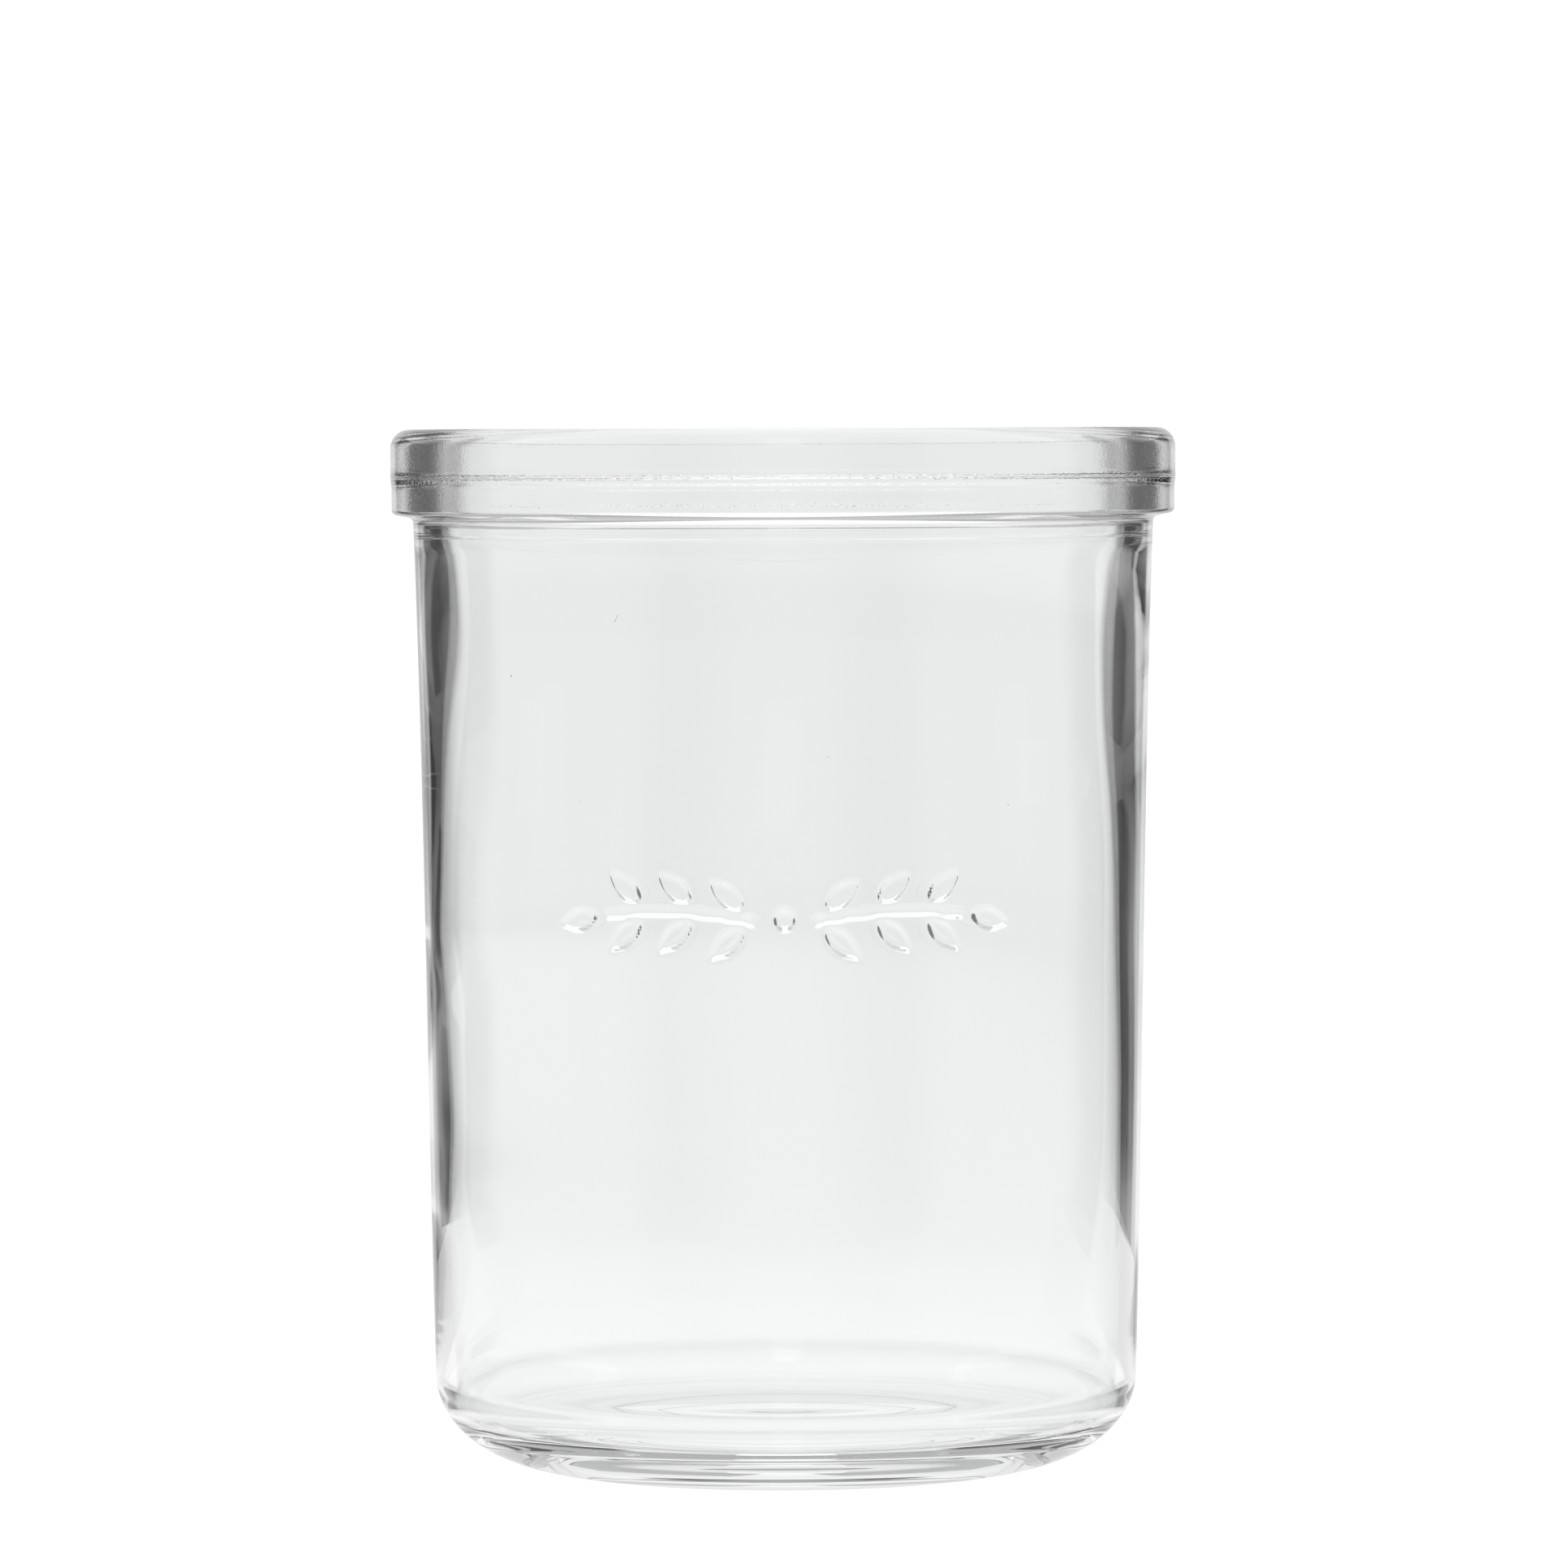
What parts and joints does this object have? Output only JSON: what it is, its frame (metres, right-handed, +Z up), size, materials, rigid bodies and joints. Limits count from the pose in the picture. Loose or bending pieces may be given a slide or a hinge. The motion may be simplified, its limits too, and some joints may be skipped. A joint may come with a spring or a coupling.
{
  "type": "open glass preserving jar",
  "caption": "Wide-mouth preserving jar of clear glass, open and empty, with a thick round collar, a nearly straight wall with a leaf sprig in low relief, and a rounded heel.",
  "frame": {"origin": "middle of the circle that the jar stands on, at the lowest point of its base", "axes": "+Z up along the jar's axis, out of its mouth; -Y towards the sprig in relief; +X to the right as seen from -Y"},
  "size_m": [0.1134, 0.1134, 0.15],
  "materials": {
    "clear_glass": "clear pressed glass, smooth and glossy, faintly uneven"
  },
  "bodies": {
    "root": {"jar": "clear_glass"}
  },
  "joints": []
}
